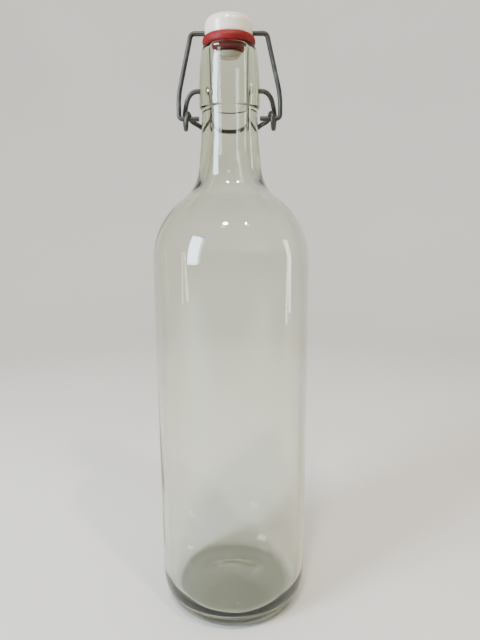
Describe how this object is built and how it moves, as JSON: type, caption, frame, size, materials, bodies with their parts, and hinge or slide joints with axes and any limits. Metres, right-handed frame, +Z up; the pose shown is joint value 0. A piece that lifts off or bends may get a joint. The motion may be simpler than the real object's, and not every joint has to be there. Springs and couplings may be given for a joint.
{
  "type": "swing top bottle",
  "caption": "Clear glass bottle with a domed shoulder and slim neck, closed by a wire swing top with a domed stopper, rubber washer and lever handle.",
  "frame": {"origin": "centre of the base on the surface it stands on, on the neck axis", "axes": "+Z up the bottle axis, +X along the closure hinges, +Y towards the lever handle behind the neck"},
  "size_m": [0.084, 0.084, 0.3205],
  "materials": {
    "clear_glass": "clear, faint grey-green tint, lightly scuffed",
    "stopper_plastic": "glossy white",
    "seal_rubber": "matte dark red",
    "wire_steel": "dull galvanised, tarnished"
  },
  "bodies": {
    "bottle": {"glass_bottle": "clear_glass"},
    "lever": {"lever_wire": "wire_steel"},
    "bail": {"bail_wire": "wire_steel"},
    "cap": {"stopper": "stopper_plastic", "rubber_washer": "seal_rubber"}
  },
  "joints": [
    {"name": "lever_hinge", "type": "hinge", "parent": "bottle", "child": "lever", "pos_m": [0, 0, 0.2843], "axis": [1, 0, 0], "range_deg": [0, 95]},
    {"name": "bail_hinge", "type": "hinge", "parent": "lever", "child": "bail", "pos_m": [0, -0.0015, 0.2707], "axis": [1, 0, 0], "range_deg": [-64, 0]},
    {"name": "stopper_hinge", "type": "hinge", "parent": "bail", "child": "cap", "pos_m": [0, 0, 0.3116], "axis": [1, 0, 0], "range_deg": [-26.5, 0]}
  ],
  "couplings": [
    {"joint": "bail_hinge", "follows": "lever_hinge", "ratio": -0.667},
    {"joint": "stopper_hinge", "follows": "lever_hinge", "ratio": -0.273}
  ]
}
